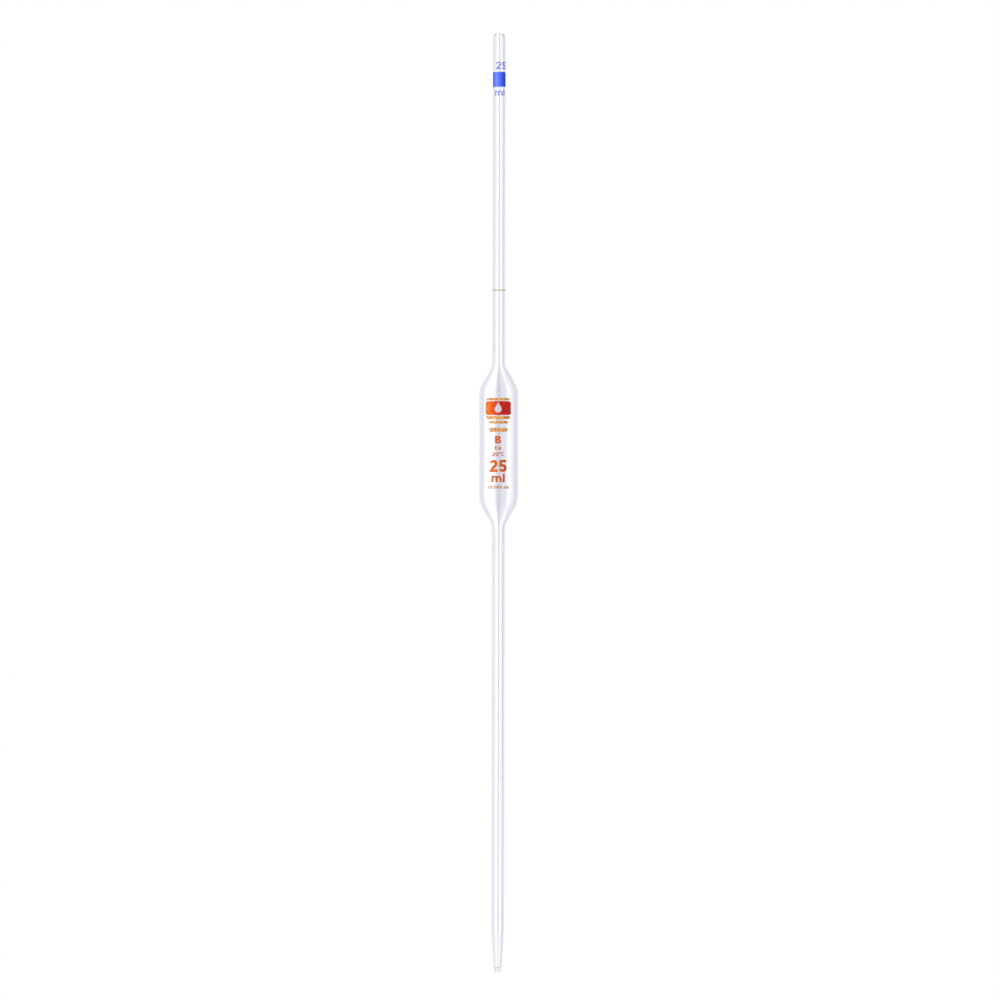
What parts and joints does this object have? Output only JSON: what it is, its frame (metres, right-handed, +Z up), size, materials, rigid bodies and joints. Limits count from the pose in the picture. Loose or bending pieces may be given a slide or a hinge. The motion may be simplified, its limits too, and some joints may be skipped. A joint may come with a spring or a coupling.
{
  "type": "volumetric pipette",
  "caption": "One-mark volumetric pipette of clear glass: slender stem, cylindrical bulb with conical shoulders, drawn jet, ring mark, blue colour code band and fired-on volume label.",
  "frame": {"origin": "centre of the jet's end face, on the pipette's axis", "axes": "+Z up along the axis from the jet to the mouth; the label on the bulb faces -Y; +X to the right of that label"},
  "size_m": [0.0214, 0.0215, 0.52],
  "materials": {
    "glass": "clear, drawn and fire-polished, very slight grey tint at the edges",
    "blue_enamel": "fired blue enamel, glossy",
    "amber_enamel": "fired amber enamel, from orange on the left to red-brown on the right",
    "amber_stain": "diffused amber stain"
  },
  "bodies": {
    "root": {"delivery_tube": "glass", "bulb": "glass", "suction_tube": "glass", "colour_code_band": "blue_enamel", "stem_2": "blue_enamel", "stem_5": "blue_enamel", "stem_m": "blue_enamel", "stem_l": "blue_enamel", "emblem": "amber_enamel", "rule_top": "amber_enamel", "rule_under_emblem": "amber_enamel", "rule_second": "amber_enamel", "rule_third": "amber_enamel", "class_letter_b": "amber_enamel", "delivery_e": "amber_enamel", "delivery_x": "amber_enamel", "temperature_2": "amber_enamel", "temperature_0": "amber_enamel", "temperature_degree": "amber_enamel", "temperature_c": "amber_enamel", "volume_2": "amber_enamel", "volume_5": "amber_enamel", "unit_m": "amber_enamel", "unit_l": "amber_enamel", "tolerance_bar": "amber_enamel", "tolerance_plus": "amber_enamel", "tolerance_0_first": "amber_enamel", "tolerance_comma": "amber_enamel", "tolerance_0_second": "amber_enamel", "tolerance_4": "amber_enamel", "tolerance_5": "amber_enamel", "tolerance_m": "amber_enamel", "tolerance_l": "amber_enamel", "ring_mark": "amber_stain"}
  },
  "joints": []
}
